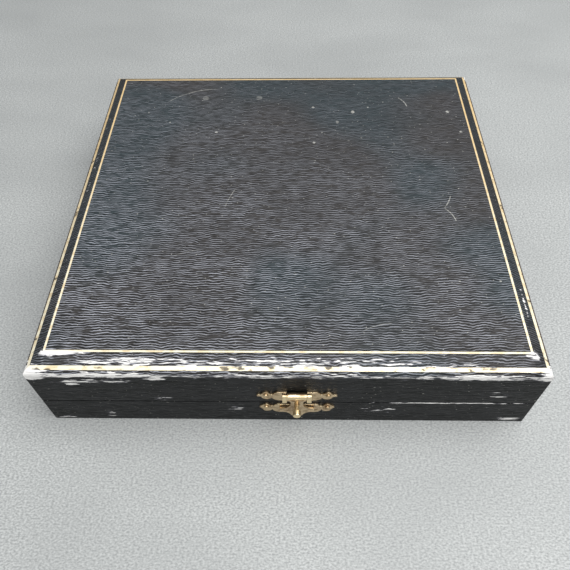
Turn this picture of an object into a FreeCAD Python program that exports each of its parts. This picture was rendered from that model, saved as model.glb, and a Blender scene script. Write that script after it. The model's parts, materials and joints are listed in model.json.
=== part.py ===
"""Presentation case for a set of jewellery, in millimetres, +Z up.

A shallow wooden case with a hinged lid. Mitred rails and boards carry a thin leather covering with two
gilt lines on the lid. The back rims are cut away in a V round two butt hinges, and the V closes as the
lid comes to its stop. A brass hasp hangs on the lid and hooks under a plate on the base. The inside
holds a necklace bed and a padded lid. The origin is the centre of the underside, on the felt.
"""

import FreeCAD
import Part

import os
import re

import Sketcher
from FreeCAD import Rotation, Vector

SHEET = "Sizes"

# The driving dimensions: alias, value in millimetres or degrees, what it is.
SIZES = [
    ("case_width", 240, "outside width of the covered case"),
    ("case_depth", 230, "outside depth of the covered case"),
    ("base_height", 20.5, "from the surface it stands on to the base's rim"),
    ("lid_height", 31.8, "from the lid's rim to its flat top"),
    ("rim_gap", 0.6, "between the two rims when the case is shut"),
    ("cover_thick", 0.5, "leather covering"),
    ("base_rail_thick", 9, "wood of the base's four rails"),
    ("base_board_thick", 3.2, "wood under the base"),
    ("lid_board_thick", 7, "wood panel of the lid, bevelled at its edges"),
    ("turn_under", 12, "how far the covering is turned under the base"),
    ("felt_thick", 0.8, "felt on the underside"),
    ("felt_proud", 0.3, "how far the felt stands below the turned covering"),
    ("bevel_run", 8.4, "from the lid's side in to the flat top"),
    ("bevel_angle", 30, "slope of the bevel"),
    ("edge_round", 3.2, "radius between bevel and side"),
    ("foil_thick", 0.12, "gilt foil, pressed in flush"),
    ("inner_line_inset", 0.4, "from the edge of the flat top to the inner gilt line"),
    ("inner_line_width", 1, "inner gilt line"),
    ("outer_line_width", 2, "outer gilt line, measured on the slope"),
    ("stop_run", 3.6, "depth of the V at the back, from the outside to the hinge axis"),
    ("stop_angle", 50, "slope of each side of the V, half of the lid's travel"),
    ("hinge_spacing", 150, "between the middles of the two hinges"),
    ("hinge_length", 36, "length of a hinge"),
    ("knuckle_gap", 0.15, "between two knuckles"),
    ("leaf_thick", 1, "hinge leaf"),
    ("leaf_reach", 5.4, "from the hinge axis to the leaf's inner edge"),
    ("barrel_radius", 1.8, "hinge knuckles"),
    ("hinge_pin_radius", 0.8, "hinge pins"),
    ("running_fit", 0.05, "radial clearance of what turns on a pin"),
    ("mortise_clear", 0.15, "round a hinge in its mortise"),
    ("hinge_nail_pitch", 12, "between two nails of a hinge"),
    ("hinge_nail_radius", 0.45, "shank of a hinge nail"),
    ("hinge_nail_head", 1, "radius of a hinge nail's countersunk head"),
    ("hinge_nail_sink", 0.55, "depth of the countersink"),
    ("hinge_nail_long", 6, "length of a hinge nail"),
    ("lining_thick", 1.4, "velvet on card inside the walls"),
    ("collar_rise", 2.5, "how far the base's lining stands above its rim"),
    ("collar_clear", 0.4, "between that collar and the lid's rails"),
    ("collar_room", 1, "between the collar and the lining above it"),
    ("pad_clear", 0.3, "round the loose pads"),
    ("pad_board_thick", 1.6, "card under each pad"),
    ("bed_thick", 8, "velvet-covered necklace bed"),
    ("bed_outer_radius", 80, "outside of the necklace's channel"),
    ("bed_inner_radius", 62, "inside of the necklace's channel"),
    ("lid_pad_thick", 8, "satin pad in the lid"),
    ("clasp_offset", 5, "the clasp sits this far to the right of the middle"),
    ("plate_thick", 0.8, "brass sheet of the clasp's two plates"),
    ("upper_plate_half", 19.2, "half the width of the plate on the lid"),
    ("upper_plate_rise", 3.1, "from the lid's rim up to that plate"),
    ("upper_plate_height", 8.1, "height of that plate"),
    ("lower_plate_half", 18.4, "half the width of the plate on the base"),
    ("lower_plate_drop", 0.7, "from the base's rim down to that plate"),
    ("lower_plate_height", 8.6, "height of that plate"),
    ("clasp_nail_inset", 4.3, "from the upper plate's tip to its nail"),
    ("lower_nail_inset", 3.4, "from the lower plate's tip to its nail"),
    ("clasp_nail_rise", 5.1, "from the upper plate's foot up to its nails"),
    ("lower_nail_rise", 5.8, "from the lower plate's foot up to its nails"),
    ("clasp_nail_radius", 0.6, "shank of a clasp nail"),
    ("clasp_nail_head", 1.25, "radius of a clasp nail's round head"),
    ("clasp_nail_crown", 0.9, "height of that head"),
    ("clasp_nail_long", 6, "length of a clasp nail behind the plate"),
    ("hasp_axis_rise", 11, "from the lid's rim up to the hasp's axis"),
    ("hasp_axis_out", 2.5, "from the case's front out to the hasp's axis"),
    ("hasp_barrel_radius", 1.7, "rolled end of the hasp"),
    ("hasp_barrel_half", 4.6, "half the length of that roll"),
    ("hasp_pin_radius", 0.6, "pin through the hasp"),
    ("ear_gap", 0.15, "between the hasp's roll and each ear"),
    ("ear_width", 2.15, "width of an ear of the upper plate"),
    ("ear_radius", 1.35, "radius of an ear round the pin"),
    ("ear_drop", 4.5, "from the hasp's axis down to the ear's foot"),
    ("hasp_thick", 0.9, "brass sheet of the hasp"),
    ("hasp_clear", 0.15, "between the hasp's web and the upper plate"),
    ("hasp_step", 0.4, "how far the hasp is stepped out below its web"),
    ("web_drop", 5.1, "from the hasp's axis down to that step"),
    ("hasp_drop", 22.3, "from the hasp's axis down to its foot"),
    ("hasp_arm", 8.4, "half the width across the hasp's arms"),
    ("lip_clear", 0.25, "between the hasp's lip and the lower plate's foot"),
    ("lip_half", 2, "half the width of the lip"),
    ("lip_height", 0.8, "height of the lip"),
    ("knob_drop", 8.6, "from the hasp's axis down to the knob's axis"),
    ("knob_stem_radius", 1.2, "stem of the knob"),
    ("knob_stem_long", 3.4, "stem of the knob, in front of the hasp"),
    ("knob_head_radius", 1.85, "head of the knob"),
    ("knob_head_long", 3.2, "length of the knob's head"),
    ("knob_edge_round", 0.45, "rounded edges of the knob's head"),
    ("rivet_radius", 1.5, "riveted tail of the knob behind the hasp"),
    ("rivet_thick", 0.25, "thickness of that tail"),
]

KNUCKLES = 5  # odd, so that the base's leaf has both end knuckles
NAILS_PER_LEAF = 3
SIDES = ("front", "back", "left", "right")

# Right halves of the clasp's outlines, in (across, up). An entry is the end of a line, or a point on an
# arc and then the arc's end. The words in them are given where the outline is used.
PLATE_END = [
    ("nail - 6.5", "foot"),
    ("nail - 4.3", "foot + 0.9", "nail - 2.8", "rise - 2.2"),
    ("nail - 0.2", "foot + 1.3", "nail + 1.9", "rise - 2.1"),
    ("nail + 2.5", "rise - 1.2", "tip - 1", "rise - 1"),
    ("tip", "rise - 0.2", "tip - 1", "rise + 0.7"),
    ("nail + 2.4", "rise + 0.8", "nail + 1.8", "rise + 1.6"),
    ("nail", "top - 0.1", "nail - 1.9", "rise + 1.6"),
    ("nail - 2.9", "rise + 0.8", "nail - 3.9", "rise + 1.4"),
    ("nail - 4.6", "top - 0.5", "nail - 5.7", "top"),
]
CRESCENT = [
    ("3.4", "top - 0.9"),
    ("5.3", "top - 1.8", "arm - 0.5", "top - 2.9"),
    ("4.8", "top - 3.5", "3.4", "top - 0.9"),
]
HASP_HALF = [
    ("0", "0"),
    ("1.2", "0"),
    ("2.3", "0.5", "2.9", "1.5"),
    ("4.6", "3.8", "arm - 0.9", "4.9"),
    ("arm", "5.2", "arm + 0.1", "6.2"),
    ("arm", "8.2"),
    ("arm - 2.6", "8.6", "4.3", "9.8"),
    ("3.3", "11.3", "3", "13"),
    ("3.05", "14.3"),
    ("3.4", "15.8", "roll", "16.6"),
    ("roll", "top"),
    ("0", "top"),
]

# Places and sizes that follow from the driving dimensions.
LID_RIM = "(base_height + rim_gap)"
TOP = "(base_height + rim_gap + lid_height)"
FRONT = "(-case_depth / 2)"
HINGE_Y = "(case_depth / 2 - stop_run)"
HINGE_Z = "(base_height + rim_gap / 2)"
BASE_WALL = "(cover_thick + base_rail_thick)"
LID_WALL = "(cover_thick + base_rail_thick - collar_clear)"
FLOOR = "(felt_thick + base_board_thick)"
LID_CEILING = "(base_height + rim_gap + lid_height - cover_thick - lid_board_thick)"
ROUND_REACH = "(edge_round * tan((90 - bevel_angle) / 2))"
UPPER_PLATE_Z = "(base_height + rim_gap + upper_plate_rise)"
LOWER_PLATE_Z = "(base_height - lower_plate_drop - lower_plate_height)"
HASP_Z = "(base_height + rim_gap + hasp_axis_rise)"
HASP_Y = "(-case_depth / 2 - hasp_axis_out)"
LOWER_NAIL_X = "(lower_plate_half - lower_nail_inset)"
WEB_BACK = "(plate_thick + hasp_clear)"
HASP_BACK = "(plate_thick + hasp_clear + hasp_step)"
OVERLONG = "10"  # how far a cutting shape runs past what it cuts

ALIASES = re.compile(r"\b(" + "|".join(name for name, _, _ in SIZES) + r")\b")

doc = FreeCAD.newDocument("jewellery_case")
kept = []


def bound(text):
    """An expression in which each alias reads its cell of the sheet."""
    return ALIASES.sub(SHEET + r".\1", text)


def fill_sheet():
    sheet = doc.addObject("Spreadsheet::Sheet", SHEET)
    for row, (name, number, note) in enumerate(SIZES, start=1):
        sheet.set(f"A{row}", name)
        sheet.set(f"B{row}", str(number))
        sheet.set(f"C{row}", note)
        sheet.setAlias(f"B{row}", name)
    doc.recompute()
    return sheet


sheet = fill_sheet()


def value(text):
    """The number that an expression has now."""
    return float(sheet.evalExpression(bound(text)))


def keep(piece, name):
    """Makes an object one of the case's pieces, under the name of its file."""
    piece.Label = name
    kept.append(piece)
    return piece


def place(piece, x, y, z, rotation=None):
    if rotation is not None:
        piece.Placement = FreeCAD.Placement(Vector(0, 0, 0), rotation)
    for axis, text in zip("xyz", (x, y, z)):
        piece.setExpression(f"Placement.Base.{axis}", bound(text))
    return piece


def box(name, x, y, z):
    """A box between (low, high) on each axis."""
    piece = doc.addObject("Part::Box", name)
    for edge, (low, high) in zip(("Length", "Width", "Height"), (x, y, z)):
        piece.setExpression(edge, bound(f"({high}) - ({low})"))
    return place(piece, x[0], y[0], z[0])


def even(half):
    return (f"-({half})", half)


def rod(name, x, y, z, radius):
    """A cylinder along X between x = (low, high)."""
    piece = doc.addObject("Part::Cylinder", name)
    piece.setExpression("Radius", bound(radius))
    piece.setExpression("Height", bound(f"({x[1]}) - ({x[0]})"))
    return place(piece, x[0], y, z, Rotation(Vector(0, 1, 0), 90))


def fuse(name, pieces):
    piece = doc.addObject("Part::MultiFuse", name)
    piece.Shapes = pieces
    return piece


def group(name, pieces):
    piece = doc.addObject("Part::Compound", name)
    piece.Links = pieces
    return piece


def common(name, one, other):
    piece = doc.addObject("Part::Common", name)
    piece.Base, piece.Tool = one, other
    return piece


def cut(name, base, *tools):
    for tool in tools:
        piece = doc.addObject("Part::Cut", name)
        piece.Base, piece.Tool = base, tool
        base = piece
    return base


def plane_of(body, role):
    return next(f for f in body.Origin.OriginFeatures if f.Role == role)


def new_sketch(body, role):
    sketch = body.newObject("Sketcher::SketchObject", body.Name + "_outline")
    sketch.AttachmentSupport = (plane_of(body, role), [""])
    sketch.MapMode = "FlatFace"
    return sketch


def bind_point(sketch, edge, end, point):
    """Binds one end (1 or 2) of a sketch's edge to an (x, y) pair of expressions."""
    for kind, text, axis in zip(("DistanceX", "DistanceY"), point, (-2, -1)):
        if text == "0":
            sketch.addConstraint(Sketcher.Constraint("PointOnObject", edge, end, axis))
            continue
        index = sketch.addConstraint(Sketcher.Constraint(kind, -1, 1, edge, end, value(text)))
        sketch.setExpression(f"Constraints[{index}]", bound(text))


def add_edge(sketch, start, end, middle=None):
    """Adds a line, or an arc through a middle point, with both ends bound to the sheet."""
    points = [Vector(value(x), value(y), 0) for x, y in filter(None, (start, middle, end))]
    if middle is None:
        edge = sketch.addGeometry(Part.LineSegment(*points), False)
        bind_point(sketch, edge, 1, start)
        bind_point(sketch, edge, 2, end)
        return
    edge = sketch.addGeometry(Part.Arc(*points), False)
    turns_left = (points[1] - points[0]).cross(points[2] - points[1]).z > 0
    bind_point(sketch, edge, 1 if turns_left else 2, start)
    bind_point(sketch, edge, 2 if turns_left else 1, end)
    sketch.addConstraint(Sketcher.Constraint("Radius", edge, sketch.Geometry[edge].Radius))


def polygon(body, role, points):
    """A closed sketch whose corners are bound to the sheet, from (x, y) expressions."""
    sketch = new_sketch(body, role)
    for k, point in enumerate(points):
        add_edge(sketch, point, points[(k + 1) % len(points)])
    return sketch


def pad(body, sketch, length, both_ways=False):
    feature = body.newObject("PartDesign::Pad", body.Name + "_pad")
    feature.Profile = sketch
    feature.SideType = "Symmetric" if both_ways else "One side"
    feature.setExpression("Length", bound(length))
    sketch.Visibility = False
    return feature


def prism(name, role, points, length, both_ways=False):
    body = doc.addObject("PartDesign::Body", name)
    pad(body, polygon(body, role, points), length, both_ways)
    return body


def round_edges(body, radius, wanted):
    """Fillets the edges of a body's last feature that wanted() picks."""
    doc.recompute()
    last = body.Tip
    names = [f"Edge{k}" for k, edge in enumerate(last.Shape.Edges, start=1) if wanted(edge)]
    feature = body.newObject("PartDesign::Fillet", body.Name + "_round")
    feature.Base = (last, names)
    feature.setExpression("Radius", bound(radius))
    return body


def turned(name, points):
    """A body turned about Z from a half outline of (radius, height) expressions."""
    body = doc.addObject("PartDesign::Body", name)
    sketch = polygon(body, "XZ_Plane", points)
    feature = body.newObject("PartDesign::Revolution", name + "_turn")
    feature.Profile = sketch
    feature.ReferenceAxis = (sketch, ["V_Axis"])
    feature.Angle = 360
    sketch.Visibility = False
    return body


# --- case blocks: the outside of each half, and the same with a thickness taken off all round ---


def stop_cut(inset):
    """How far the V's slope runs along the rim and down the back of a block with that inset."""
    run = f"(stop_run - {inset} + {inset} * tan(stop_angle / 2))"
    drop = f"(({inset} + (stop_run - {inset}) * sin(stop_angle)) / cos(stop_angle) - {inset})"
    return run, drop


def base_block(name, inset):
    run, drop = stop_cut(inset)
    side = f"(case_depth / 2 - {inset})"
    rim = f"(base_height - {inset})"
    foot = f"(felt_proud + {inset})"
    outline = [
        (f"-{side}", foot),
        (side, foot),
        (side, f"{rim} - {drop}"),
        (f"{side} - {run}", rim),
        (f"-{side}", rim),
    ]
    return prism(name, "YZ_Plane", outline, f"case_width - 2 * {inset}", both_ways=True)


def lid_knee(inset):
    """Where the bevel's plane meets the side's plane, before the edge is rounded."""
    return f"({TOP} - ({inset} + (bevel_run - {inset}) * sin(bevel_angle)) / cos(bevel_angle))"


def lid_prism(name, role, half, back_cut, inset):
    run, drop = stop_cut(inset)
    side = f"({half} - {inset})"
    rim = f"({LID_RIM} + {inset})"
    knee = lid_knee(inset)
    flat = f"({half} - bevel_run - {inset} * tan(bevel_angle / 2))"
    rim_end = [(f"{side} - {run}", rim), (side, f"{rim} + {drop}")] if back_cut else [(side, rim)]
    outline = [
        (f"-{side}", rim),
        *rim_end,
        (side, knee),
        (flat, f"{TOP} - {inset}"),
        (f"-{flat}", f"{TOP} - {inset}"),
        (f"-{side}", knee),
    ]
    length = f"case_width + case_depth + {OVERLONG}"
    body = prism(name, role, outline, length, both_ways=True)
    knee_z, long = value(knee), value(length)
    return round_edges(
        body,
        f"edge_round - {inset}",
        lambda edge: abs(edge.Length - long) < 1e-6 and abs(edge.CenterOfMass.z - knee_z) < 1e-6,
    )


def lid_block(name, inset):
    """Two crossed prisms share the lid's block, so its bevel and round are mitred at the corners."""
    along = lid_prism(name + "_along", "YZ_Plane", "case_depth / 2", True, inset)
    across = lid_prism(name + "_across", "XZ_Plane", "case_width / 2", False, inset)
    return common(name, along, across)


def mitre_prisms():
    """Four prisms that split a frame at its corners, as 45 degree mitres."""
    wide, deep, reach = "case_width / 2", "case_depth / 2", f"({BASE_WALL} + lining_thick + {OVERLONG})"
    made = {}
    for side in SIDES:
        sign = "-" if side in ("front", "left") else ""
        if side in ("front", "back"):
            outer, inner = f"{sign}{deep}", f"{sign}({deep} - {reach})"
            ends = [wide, f"({wide} - {reach})"]
            corners = [("-" + ends[0], outer), (ends[0], outer), (ends[1], inner), ("-" + ends[1], inner)]
        else:
            outer, inner = f"{sign}{wide}", f"{sign}({wide} - {reach})"
            ends = [deep, f"({deep} - {reach})"]
            corners = [(outer, "-" + ends[0]), (outer, ends[0]), (inner, ends[1]), (inner, "-" + ends[1])]
        made[side] = prism(f"mitre_{side}", "XY_Plane", corners, f"{TOP} + {OVERLONG}")
    return made


def ring(name, outer_wall, inner_wall, z):
    """A frame that follows the walls, between two distances in from the case's outside."""
    solid = box(
        name + "_solid", even(f"case_width / 2 - {outer_wall}"), even(f"case_depth / 2 - {outer_wall}"), z
    )
    hollow = box(
        name + "_hollow",
        even(f"case_width / 2 - {inner_wall}"),
        even(f"case_depth / 2 - {inner_wall}"),
        (f"{z[0]} - {OVERLONG}", f"{z[1]} + {OVERLONG}"),
    )
    return cut(name, solid, hollow)


# --- hinges ---


def hinge_middle(side):
    return "(-hinge_spacing / 2)" if side == "left" else "(hinge_spacing / 2)"


def knuckle_span(side, k):
    start = f"{hinge_middle(side)} - hinge_length / 2"
    return (
        f"({start} + {k} * hinge_length / {KNUCKLES} + knuckle_gap / 2)",
        f"({start} + {k + 1} * hinge_length / {KNUCKLES} - knuckle_gap / 2)",
    )


def hinge_leaf(name, side, z, own_knuckles, bore, nails):
    """One leaf: a plate, the knuckles that it carries, and the holes for its pin and nails."""
    middle = hinge_middle(side)
    edge = f"({HINGE_Y} - barrel_radius - 2 * mortise_clear)"
    span = (f"{middle} - hinge_length / 2", f"{middle} + hinge_length / 2")
    solids = [box(name + "_plate", span, (f"{HINGE_Y} - leaf_reach", edge), z)]
    for k in own_knuckles:
        solids.append(rod(f"{name}_knuckle_{k}", knuckle_span(side, k), HINGE_Y, HINGE_Z, "barrel_radius"))
        solids.append(box(f"{name}_web_{k}", knuckle_span(side, k), (edge, HINGE_Y), z))
    hole = rod(name + "_bore", span, HINGE_Y, HINGE_Z, bore)
    return keep(cut(name + "_cut", fuse(name + "_blank", solids), hole, nails), name)


def hinge_seats(half, z):
    """The mortises of both hinges in one half of the case."""
    tools = []
    for side in ("left", "right"):
        middle = hinge_middle(side)
        span = (
            f"{middle} - hinge_length / 2 - mortise_clear",
            f"{middle} + hinge_length / 2 + mortise_clear",
        )
        pocket = box(
            f"{half}_{side}_pocket", span, (f"{HINGE_Y} - leaf_reach - mortise_clear", HINGE_Y), z
        )
        seat = rod(f"{half}_{side}_seat", span, HINGE_Y, HINGE_Z, "barrel_radius + mortise_clear")
        tools.append(fuse(f"{half}_{side}_mortise", [pocket, seat]))
    return group(f"{half}_mortises", tools)


def hinge_nails(half, head_z, up):
    """Countersunk nails of both hinges in one half, their heads flush with the leaves."""
    outline = [
        ("0", "0"),
        ("hinge_nail_head", "0"),
        ("hinge_nail_radius", "-hinge_nail_sink"),
        ("hinge_nail_radius", "-hinge_nail_long + 2 * hinge_nail_radius"),
        ("0", "-hinge_nail_long"),
    ]
    turn = Rotation(Vector(1, 0, 0), 180) if up else Rotation()
    nails = []
    for side in ("left", "right"):
        for k in range(NAILS_PER_LEAF):
            nail = turned(f"{half}_{side}_hinge_nail_{k}", outline)
            x = f"{hinge_middle(side)} + {k - (NAILS_PER_LEAF - 1) / 2} * hinge_nail_pitch"
            y = f"{HINGE_Y} - (leaf_reach + barrel_radius + 2 * mortise_clear) / 2"
            nails.append(place(nail, x, y, head_z, turn))
    return keep(group(f"{half}_nails", nails), f"hinge_nails_{half}")


# --- clasp ---


def spell(outline, **words):
    """An outline with the words in it replaced by what they stand for."""
    pattern = re.compile(r"\b(" + "|".join(words) + r")\b")
    return [tuple(pattern.sub(lambda m: f"({words[m.group(1)]})", c) for c in entry) for entry in outline]


def mirrored(outline):
    return [tuple(c if k % 2 or c == "0" else f"-({c})" for k, c in enumerate(entry)) for entry in outline]


def sheet_piece(name, half_outline, height, thick, holes=()):
    """Brass sheet in front of the case, from the right half of its outline and of its holes."""
    body = doc.addObject("PartDesign::Body", name)
    sketch = new_sketch(body, "XZ_Plane")
    for outline in (half_outline, *holes):
        for chain in (outline, mirrored(outline)):
            for before, entry in zip(chain, chain[1:]):
                add_edge(sketch, before[-2:], entry[-2:], entry[:-2] or None)
    pad(body, sketch, thick)
    return place(body, "clasp_offset", FRONT, height)


def upper_plate():
    notch = "(hasp_barrel_half + 2 * ear_gap)"
    sill = f"({HASP_Z} - web_drop - {UPPER_PLATE_Z} + ear_gap)"
    words = {
        "nail": "upper_plate_half - clasp_nail_inset",
        "tip": "upper_plate_half",
        "rise": "clasp_nail_rise",
        "foot": "0",
        "top": "upper_plate_height",
    }
    outline = [
        ("0", "0"),
        *spell(PLATE_END, **words),
        (notch, "upper_plate_height"),
        (notch, sill),
        ("0", sill),
    ]
    return sheet_piece("upper_plate_sheet", outline, UPPER_PLATE_Z, "plate_thick")


def lower_plate():
    words = {
        "nail": LOWER_NAIL_X,
        "tip": "lower_plate_half",
        "rise": "lower_nail_rise",
        "foot": "0",
        "top": "lower_plate_height",
        "arm": "hasp_arm",
    }
    outline = [("0", "0"), *spell(PLATE_END, **words), ("0", "lower_plate_height")]
    return sheet_piece(
        "lower_plate_sheet", outline, LOWER_PLATE_Z, "plate_thick", [spell(CRESCENT, **words)]
    )


def ears(axis_y):
    """The two ears of the upper plate, rolled round the hasp's pin."""
    made = []
    for side in ("left", "right"):
        near, far = "hasp_barrel_half + ear_gap", "hasp_barrel_half + ear_gap + ear_width"
        x = (f"clasp_offset + {near}", f"clasp_offset + {far}")
        if side == "left":
            x = (f"clasp_offset - ({far})", f"clasp_offset - ({near})")
        made.append(rod(f"ear_{side}_roll", x, axis_y, HASP_Z, "ear_radius"))
        made.append(
            box(
                f"ear_{side}_block",
                x,
                (f"{axis_y} - ear_radius", f"{FRONT} - plate_thick"),
                (f"{HASP_Z} - ear_drop", HASP_Z),
            )
        )
    return made


def hasp():
    """The hasp: a roll round its pin, a web, and a stepped-out sheet with two arms, a neck and a lip."""
    words = {"arm": "hasp_arm", "top": "hasp_drop - web_drop", "roll": "hasp_barrel_half"}
    outline = spell(HASP_HALF, **words)
    sheet_part = sheet_piece("hasp_sheet", outline, f"{HASP_Z} - hasp_drop", "hasp_thick")
    place(sheet_part, "clasp_offset", f"{FRONT} - {HASP_BACK}", f"{HASP_Z} - hasp_drop")
    x = ("clasp_offset - hasp_barrel_half", "clasp_offset + hasp_barrel_half")
    web = box(
        "hasp_web",
        x,
        (f"{FRONT} - {WEB_BACK} - hasp_thick", f"{FRONT} - {WEB_BACK}"),
        (f"{HASP_Z} - web_drop - hasp_thick", HASP_Z),
    )
    lip_top = f"{LOWER_PLATE_Z} - lip_clear"
    lip = box(
        "hasp_lip",
        ("clasp_offset - lip_half", "clasp_offset + lip_half"),
        (f"{FRONT} - {HASP_BACK} - hasp_thick / 2", f"{FRONT} - hasp_clear"),
        (f"{lip_top} - lip_height", lip_top),
    )
    roll = rod("hasp_roll", x, HASP_Y, HASP_Z, "hasp_barrel_radius")
    blank = fuse("hasp_blank", [sheet_part, web, lip, roll])
    bore = rod("hasp_bore", x, HASP_Y, HASP_Z, "hasp_pin_radius + running_fit")
    return blank, bore


def knob():
    """The turned knob: a riveted tail, the stem through the hasp, and the head."""
    face = "(rivet_thick + hasp_thick)"
    head = f"({face} + knob_stem_long)"
    end = f"({head} + knob_head_long)"
    body = turned(
        "knob_turned",
        [
            ("0", "0"),
            ("rivet_radius", "0"),
            ("rivet_radius", "rivet_thick"),
            ("knob_stem_radius", "rivet_thick"),
            ("knob_stem_radius", head),
            ("knob_head_radius", head),
            ("knob_head_radius", end),
            ("0", end),
        ],
    )
    radius = value("knob_head_radius")
    low, high = value(head), value(end)
    round_edges(
        body,
        "knob_edge_round",
        lambda edge: hasattr(edge.Curve, "Radius")
        and abs(edge.Curve.Radius - radius) < 1e-6
        and (abs(edge.CenterOfMass.z - low) < 1e-6 or abs(edge.CenterOfMass.z - high) < 1e-6),
    )
    place(
        body,
        "clasp_offset",
        f"{FRONT} - {HASP_BACK} + rivet_thick",
        f"{HASP_Z} - knob_drop",
        Rotation(Vector(1, 0, 0), 90),
    )
    return keep(body, "hasp_knob")


def clasp_nails(half, plate_half, plate_z, rise):
    """Two round-headed nails through a clasp plate into the rail behind it."""
    outline = [
        ("0", "-clasp_nail_long - plate_thick"),
        ("clasp_nail_radius", "-clasp_nail_long - plate_thick + 2 * clasp_nail_radius"),
        ("clasp_nail_radius", "0"),
        ("clasp_nail_head", "0"),
        ("clasp_nail_head", "clasp_nail_crown"),
        ("0", "clasp_nail_crown"),
    ]
    crown, radius = value("clasp_nail_crown"), value("clasp_nail_head")
    nails = []
    for side in (-1, 1):
        nail = turned(f"clasp_nail_{half}_{'left' if side < 0 else 'right'}", outline)
        round_edges(
            nail,
            "0.9 * clasp_nail_crown",
            lambda edge: hasattr(edge.Curve, "Radius")
            and abs(edge.Curve.Radius - radius) < 1e-6
            and abs(edge.CenterOfMass.z - crown) < 1e-6,
        )
        nails.append(
            place(
                nail,
                f"clasp_offset + {side} * ({plate_half})",
                f"{FRONT} - plate_thick",
                f"{plate_z} + {rise}",
                Rotation(Vector(1, 0, 0), 90),
            )
        )
    return keep(group(f"clasp_nails_{half}_pair", nails), f"clasp_nails_{half}")


# --- the case ---


def build_base(mitres, seats, nails_hinge, nails_clasp):
    outer, inner = base_block("base_outside", "0"), base_block("base_wood", "cover_thick")
    high = f"{TOP} + {OVERLONG}"
    side_x, side_y = f"case_width / 2 - {BASE_WALL}", f"case_depth / 2 - {BASE_WALL}"
    well = box("base_well_space", even(side_x), even(side_y), (FLOOR, high))
    under = "turn_under"
    window = box(
        "underside_window",
        even(f"case_width / 2 - {under}"),
        even(f"case_depth / 2 - {under}"),
        (f"-{OVERLONG}", "felt_thick"),
    )
    shell = cut("base_shell", outer, inner)
    keep(cut("base_cover", shell, well, window, seats, nails_hinge, nails_clasp), "base_side_cover")
    board = box(
        "base_board_wood",
        even("case_width / 2 - cover_thick"),
        even("case_depth / 2 - cover_thick"),
        ("felt_thick", FLOOR),
    )
    keep(board, "base_bottom_board")
    felt = box(
        "felt_sheet",
        even(f"case_width / 2 - {under}"),
        even(f"case_depth / 2 - {under}"),
        ("0", "felt_thick"),
    )
    keep(felt, "underside_felt")
    frame = cut("base_frame", inner, well, board)
    for side in SIDES:
        rail = common(f"base_rail_wood_{side}", frame, mitres[side])
        if side == "back":
            rail = cut("base_rail_back_cut", rail, seats, nails_hinge)
        if side == "front":
            rail = cut("base_rail_front_cut", rail, nails_clasp)
        keep(rail, f"base_rail_{side}")
    return inner


def build_lid(mitres, seats, nails_hinge, nails_clasp):
    outer, inner = lid_block("lid_outside", "0"), lid_block("lid_wood", "cover_thick")
    side_x, side_y = f"case_width / 2 - {LID_WALL}", f"case_depth / 2 - {LID_WALL}"
    everywhere = (even(f"case_width / 2 + {OVERLONG}"), even(f"case_depth / 2 + {OVERLONG}"))
    above = box("above_ceiling", *everywhere, (LID_CEILING, f"{TOP} + {OVERLONG}"))
    well = box("lid_well_space", even(side_x), even(side_y), ("0", LID_CEILING))
    seam = f"({lid_knee('0')} - {ROUND_REACH})"
    below_seam = box("below_seam", *everywhere, ("0", seam))
    above_seam = box("above_seam", *everywhere, (seam, f"{TOP} + {OVERLONG}"))
    shell = cut("lid_shell", outer, inner)

    foil = cut("foil_layer", outer, lid_block("foil_core", "foil_thick"))
    line_wall = "(bevel_run + inner_line_inset)"
    frame = ring(
        "inner_line_frame",
        line_wall,
        f"({line_wall} + inner_line_width)",
        (f"{TOP} - edge_round", f"{TOP} + {OVERLONG}"),
    )
    inner_line = keep(common("inner_line_foil", foil, frame), "gilt_line_inner")
    line_z = f"({lid_knee('0')} + {ROUND_REACH} * sin(bevel_angle))"
    band = box("outer_line_band", *everywhere, (line_z, f"{line_z} + outer_line_width * sin(bevel_angle)"))
    outer_line = keep(common("outer_line_foil", foil, band), "gilt_line_outer")

    top = common("lid_top_skin", shell, above_seam)
    keep(cut("lid_top_skin_cut", top, inner_line, outer_line), "lid_top_cover")
    sides = common("lid_side_skin", shell, below_seam)
    keep(cut("lid_side_skin_cut", sides, well, seats, nails_hinge, nails_clasp), "lid_side_cover")

    keep(common("lid_panel", inner, above), "lid_board")
    wood = cut("lid_frame", inner, well, above)
    for side in SIDES:
        rail = common(f"lid_rail_wood_{side}", wood, mitres[side])
        if side == "back":
            rail = cut("lid_rail_back_cut", rail, seats, nails_hinge)
        if side == "front":
            rail = cut("lid_rail_front_cut", rail, nails_clasp)
        keep(rail, f"lid_rail_{side}")


def build_hinges(nails_base, nails_lid):
    base_z = ("base_height - leaf_thick", "base_height")
    lid_z = (LID_RIM, f"{LID_RIM} + leaf_thick")
    for side in ("left", "right"):
        fixed, turning = range(0, KNUCKLES, 2), range(1, KNUCKLES, 2)
        hinge_leaf(f"hinge_leaf_base_{side}", side, base_z, fixed, "hinge_pin_radius", nails_base)
        hinge_leaf(
            f"hinge_leaf_lid_{side}", side, lid_z, turning, "hinge_pin_radius + running_fit", nails_lid
        )
        middle = hinge_middle(side)
        span = (f"{middle} - hinge_length / 2", f"{middle} + hinge_length / 2")
        keep(rod(f"hinge_rod_{side}", span, HINGE_Y, HINGE_Z, "hinge_pin_radius"), f"hinge_pin_{side}")


def build_clasp(nails_upper, nails_lower):
    reach = "hasp_barrel_half + ear_gap + ear_width"
    pin_x = (f"clasp_offset - ({reach})", f"clasp_offset + ({reach})")
    pin = rod("clasp_rod", pin_x, HASP_Y, HASP_Z, "hasp_pin_radius")
    keep(pin, "clasp_pin")
    upper = fuse("upper_plate_blank", [upper_plate(), *ears(HASP_Y)])
    keep(cut("upper_plate_cut", upper, pin, nails_upper), "clasp_upper_plate")
    keep(cut("lower_plate_cut", lower_plate(), nails_lower), "clasp_lower_plate")
    blank, bore = hasp()
    keep(cut("hasp_cut", blank, bore, knob()), "hasp_plate")


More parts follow.
